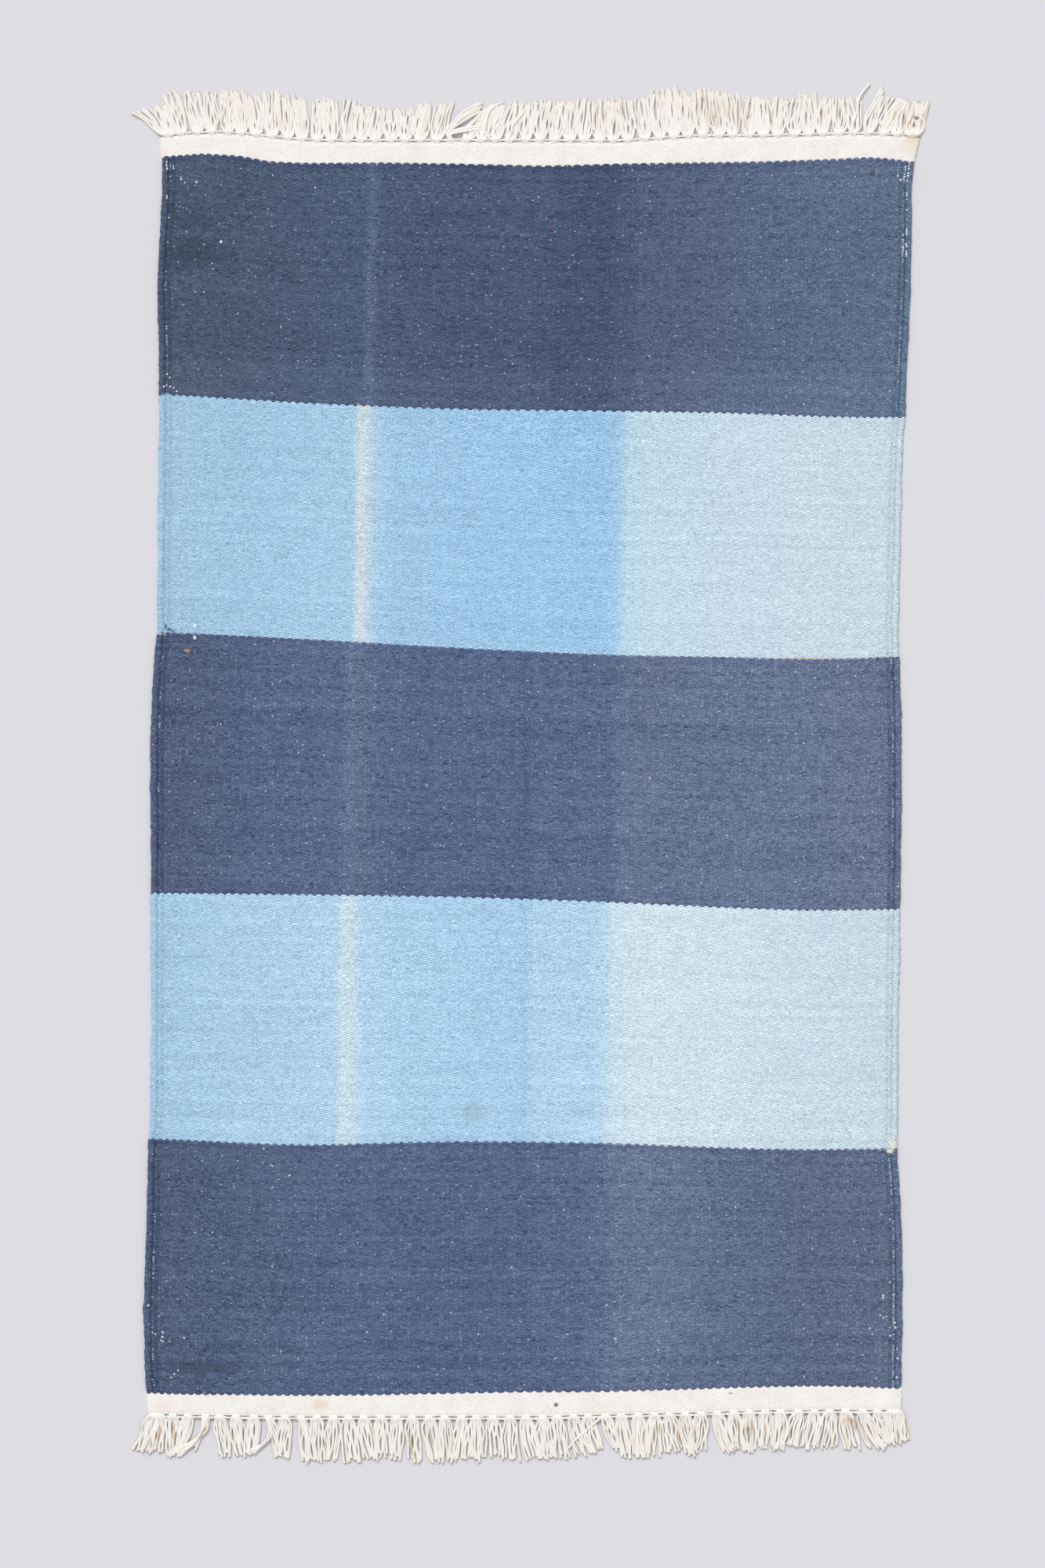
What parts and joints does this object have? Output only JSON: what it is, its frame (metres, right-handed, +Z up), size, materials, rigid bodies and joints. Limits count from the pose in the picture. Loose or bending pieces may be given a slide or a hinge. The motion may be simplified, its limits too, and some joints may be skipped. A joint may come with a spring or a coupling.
{
  "type": "cotton kilim",
  "caption": "Flat-woven cotton rug with wide crosswise navy and sky blue bands, cream end webs and a short knotted fringe at both ends.",
  "frame": {"origin": "middle of the rug's underside, on the floor it lies on", "axes": "+X across the rug to the right of the picture, +Y along its warps to the far end, +Z up out of the floor"},
  "size_m": [0.7479, 1.2854, 0.0051],
  "materials": {
    "navy_cotton": "matte dyed weft-faced cotton",
    "sky_cotton": "matte pale dyed weft-faced cotton",
    "cream_cotton": "matte undyed cotton"
  },
  "bodies": {
    "root": {"dyed_field": "navy_cotton", "far_end": "cream_cotton", "near_end": "cream_cotton"}
  },
  "joints": []
}
